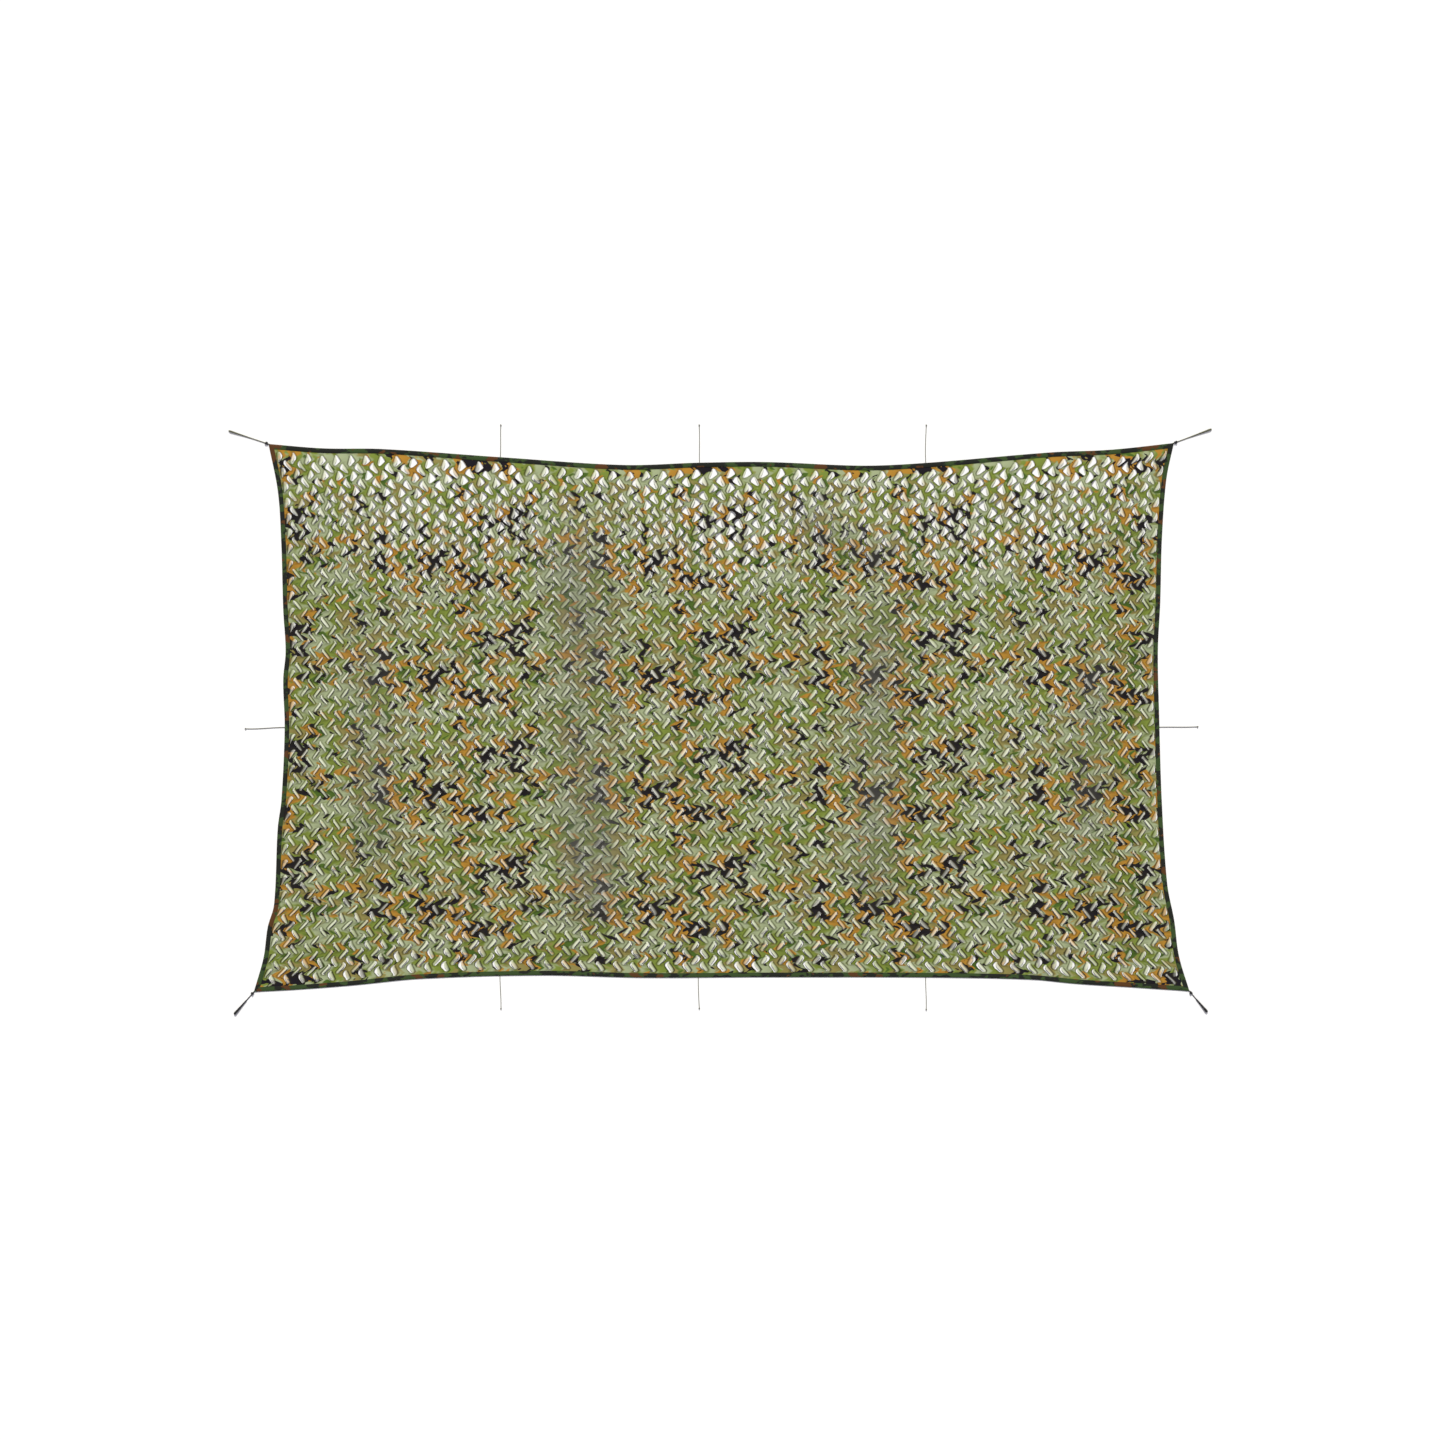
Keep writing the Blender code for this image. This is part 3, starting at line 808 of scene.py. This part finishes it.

# painted shade darkens the cuts' creases, a painted highlight pales the tongues, and painted shade greys the
# bands along the folds
tongue = cloth_finish.node("ShaderNodeAttribute", {"attribute_name": "paleness"}, {}, "Fac")
crease = cloth_finish.node("ShaderNodeAttribute", {"attribute_name": "crease"}, {}, "Fac")
fold_shade = cloth_finish.node("ShaderNodeAttribute", {"attribute_name": "dullness"}, {}, "Fac")
paler = cloth_finish.mix(PALENESS, printed, HIGHLIGHT_PALE)
darker = cloth_finish.mix(DARKNESS, printed, PAINTED_SHADE_BROWN)
printed = cloth_finish.mix(tongue, cloth_finish.mix(crease, printed, darker), paler)
cloth_finish.feed("Base Color", cloth_finish.mix(fold_shade * GREYNESS, printed, FOLD_SHADE_GREY))
# the fine grain of the weave
cloth_finish.bump(cloth_finish.grain(420.0, 3.0), 0.25, 0.0008)
net_cloth.data.materials.append(cloth_finish.material)
set_down(net_cloth, "printed_cloth", "cloth")


# ---- The edge tape
# A dark printed tape, folded double over the cloth's edge all round, mitred at the corners and sewn
# through with a row of stitches near its inner edge, in thread of the same colours.

# How clear of the floor the tape lies, and how high it stands from there
TAPE_LOW, TAPE_HEIGHT = 0.0002, 0.0048
# The folded tape's section. Columns: depth in from the net's edge; height, as a share of the tape's
TAPE_SECTION = (
    (0.0245, 0.02), (0.0120, 0.01), (0.0022, 0.02), (0.0004, 0.25), (0.0, 0.50), (0.0004, 0.78),
    (0.0022, 0.97), (0.0120, 1.00), (0.0225, 0.92), (0.0250, 0.80),
)
# How much the tape's upper side swells and sinks along it, how finely, and how much more the corners
# swell, over the mitre's layers and the end of the cord
PUCKER, PUCKER_FINENESS, CORNER_SWELL = 0.10, 9.0, 0.30
# One stitch's length, width, how far it stands up and how far down it goes
STITCH_LENGTH, STITCH_WIDTH, STITCH_RISE, STITCH_DOWN = 0.0052, 0.0012, 0.0004, 0.0010
# The seam's depth in from the net's edge, and its height as a share of the tape's
SEAM_DEPTH, SEAM_HEIGHT = 0.0205, 0.935
TAPE_BLACK = (0.012, 0.014, 0.010)
TAPE_GREEN = (0.035, 0.065, 0.018)
TAPE_BROWN = (0.09, 0.036, 0.010)

tape_finish = Finish("binding_tape", Roughness=0.8, Specular_IOR_Level=0.2)
green_patches = print_patch(tape_finish, tape_finish.place(), 8.3, 2.6, 2.0, 0.50, 30.0)
brown_patches = print_patch(tape_finish, tape_finish.place(), 51.9, 2.4, 1.8, 0.60, 40.0)
tape_print = tape_finish.mix(green_patches, TAPE_BLACK, TAPE_GREEN)
tape_finish.feed("Base Color", tape_finish.mix(brown_patches, tape_print, TAPE_BROWN))
tape_finish.bump(tape_finish.grain(600.0, 2.0), 0.3, 0.0006)


def inward(before, here, after, depth):
    """The point at a depth inside a corner of the outline, on the corner's mitre line."""
    first, second = (here - before).normalized(), (after - here).normalized()
    normals = [Vector((way.y, -way.x)) for way in (first, second)]
    mitre = (normals[0] + normals[1]).normalized()
    return here + mitre * depth / mitre.dot(normals[0])


names = list(SIDES)
for number, name in enumerate(names):
    # the steps next to the corners are left out, as the mitres reach past them
    side = SIDES[name][:1] + SIDES[name][2:-2] + SIDES[name][-1:]
    chain = [SIDES[names[number - 1]][-3]] + side + [SIDES[names[(number + 1) % 4]][2]]
    points, faces, seam = [], [], []
    for k in range(1, len(chain) - 1):
        around = chain[k - 1:k + 2]
        pucker = 1 + PUCKER * noise.noise(Vector((*(chain[k] * PUCKER_FINENESS), 3.3)))
        if k in (1, len(chain) - 2):
            pucker += CORNER_SWELL
        else:
            seam.append((inward(*around, SEAM_DEPTH), TAPE_LOW + TAPE_HEIGHT * SEAM_HEIGHT * pucker))
        for depth, height in TAPE_SECTION:
            swollen = pucker if height > 0.5 else 1.0
            points.append((*inward(*around, depth), TAPE_LOW + TAPE_HEIGHT * height * swollen))
    section = len(TAPE_SECTION)
    for k in range(len(side) - 1):
        for first in range(k * section, (k + 1) * section - 1):
            faces.append((first, first + section, first + section + 1, first + 1))
    # the stitches stand up from the tape as short dashes, three to each of its steps
    for (start, low), (end, high) in zip(seam, seam[1:]):
        way = (end - start).normalized() * STITCH_LENGTH / 2
        across = Vector((-way.y, way.x)).normalized() * STITCH_WIDTH / 2
        for share in (1 / 6, 3 / 6, 5 / 6):
            centre, top = start.lerp(end, share), low + (high - low) * share + STITCH_RISE
            first = len(points)
            for height in (top - STITCH_DOWN, top):
                for ahead, aside in ((-1, -1), (1, -1), (1, 1), (-1, 1)):
                    points.append((*(centre + way * ahead + across * aside), height))
            faces.append(tuple(first + k for k in (3, 2, 1, 0)))
            faces.append(tuple(first + k for k in (4, 5, 6, 7)))
            for k, after in ((0, 1), (1, 2), (2, 3), (3, 0)):
                faces.append((first + k, first + after, first + after + 4, first + k + 4))
    tape = mesh_piece("tape_" + name, points, faces)
    tape.data.materials.append(tape_finish.material)
    set_down(tape, "binding_tape", "binding_" + name)
